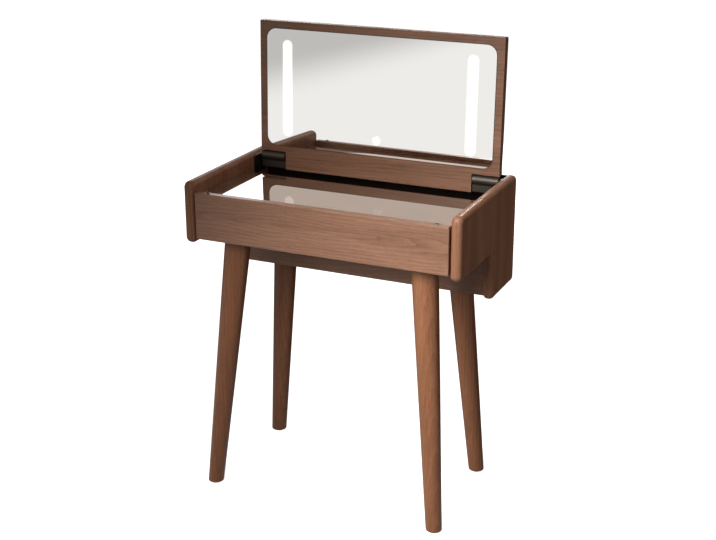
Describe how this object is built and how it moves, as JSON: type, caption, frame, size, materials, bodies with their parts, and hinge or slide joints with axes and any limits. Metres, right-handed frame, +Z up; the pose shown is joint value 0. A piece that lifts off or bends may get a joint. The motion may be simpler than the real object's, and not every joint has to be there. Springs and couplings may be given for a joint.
{
  "type": "flip top vanity table",
  "caption": "Dressing table on splayed legs: a mirror flap with lights lies flush in its top and stands up on hinges behind a glass tray, with a drawer and a deep well below.",
  "frame": {"origin": "on the floor, at the centre of the space that the table takes up", "axes": "+X to the right of someone facing the table, -Y to the front, +Z up; flap open, drawer shut"},
  "size_m": [0.66, 0.374, 1.0521],
  "materials": {
    "walnut_veneer": "satin",
    "walnut_solid": "satin",
    "back_board": "matte",
    "birch": "satin",
    "tinted_glass": "gloss",
    "clear_rubber": "satin",
    "plate_steel": "satin",
    "zinc_plated": "satin",
    "bright_steel": "gloss",
    "cam_zinc": "satin",
    "felt": "matte",
    "mirror": "gloss",
    "opal_plastic": "matte",
    "circuit_white": "satin",
    "white_plastic": "gloss",
    "copper": "satin",
    "circuit_green": "satin",
    "battery_foil": "satin",
    "wire_plastic": "satin",
    "port_metal": "satin",
    "black_steel": "satin",
    "dark_casting": "satin",
    "bearing_brass": "satin"
  },
  "bodies": {
    "table": {"side_panel_left": "walnut_veneer", "side_panel_right": "walnut_veneer", "drawer_floor": "walnut_veneer", "well_front_wall": "walnut_veneer", "well_floor": "walnut_veneer", "back_panel": "back_board", "front_rail": "walnut_veneer", "glass_cleat_left": "walnut_veneer", "glass_cleat_right": "walnut_veneer", "glass_top": "tinted_glass", "glass_pads": "clear_rubber", "leg_front_left": "walnut_solid", "leg_front_right": "walnut_solid", "leg_rear_left": "walnut_solid", "leg_rear_right": "walnut_solid", "leg_plates": "plate_steel", "hanger_bolts": "zinc_plated", "foot_pads": "felt", "slide_outer_left": "zinc_plated", "slide_outer_right": "zinc_plated", "hinge_plate_left": "black_steel", "hinge_plate_right": "black_steel", "hinge_pins": "bright_steel", "cam_locks": "cam_zinc", "cam_bolts": "zinc_plated", "rail_dowels": "birch", "leg_plate_screws": "zinc_plated", "hinge_plate_screws": "black_steel", "slide_screws": "zinc_plated", "cleat_screws": "zinc_plated", "back_screws": "zinc_plated"},
    "drawer": {"drawer_front": "walnut_veneer", "drawer_side_left": "birch", "drawer_side_right": "birch", "drawer_back": "birch", "drawer_bottom": "birch", "slide_inner_left": "zinc_plated", "slide_inner_right": "zinc_plated", "drawer_dowels": "birch", "drawer_slide_screws": "zinc_plated", "drawer_screws": "zinc_plated", "flap_bumpers": "clear_rubber"},
    "ball_cages": {"ball_cage_left": "bright_steel", "ball_cage_right": "bright_steel"},
    "flap": {"flap_board": "walnut_veneer", "mirror_glass": "mirror", "light_diffusers": "opal_plastic", "led_strips": "circuit_white", "touch_button": "white_plastic", "touch_sensor": "copper", "light_controller": "circuit_green", "light_battery": "battery_foil", "light_wires": "wire_plastic", "charge_port": "port_metal", "hinge_arm_left": "dark_casting", "hinge_arm_right": "dark_casting", "friction_sleeves": "bearing_brass", "hinge_arm_screws": "zinc_plated"}
  },
  "joints": [
    {"name": "flap_hinge", "type": "hinge", "parent": "table", "child": "flap", "pos_m": [0, 0.147, 0.728], "axis": [1, 0, 0], "range_deg": [0, 92]},
    {"name": "drawer_slide", "type": "slide", "parent": "table", "child": "drawer", "axis": [0, -1, 0], "range_m": [0, 0.13]},
    {"name": "cage_slide", "type": "slide", "parent": "table", "child": "ball_cages", "axis": [0, -1, 0], "range_m": [0, 0.065]}
  ],
  "couplings": [
    {"joint": "cage_slide", "follows": "drawer_slide", "ratio": 0.5}
  ]
}
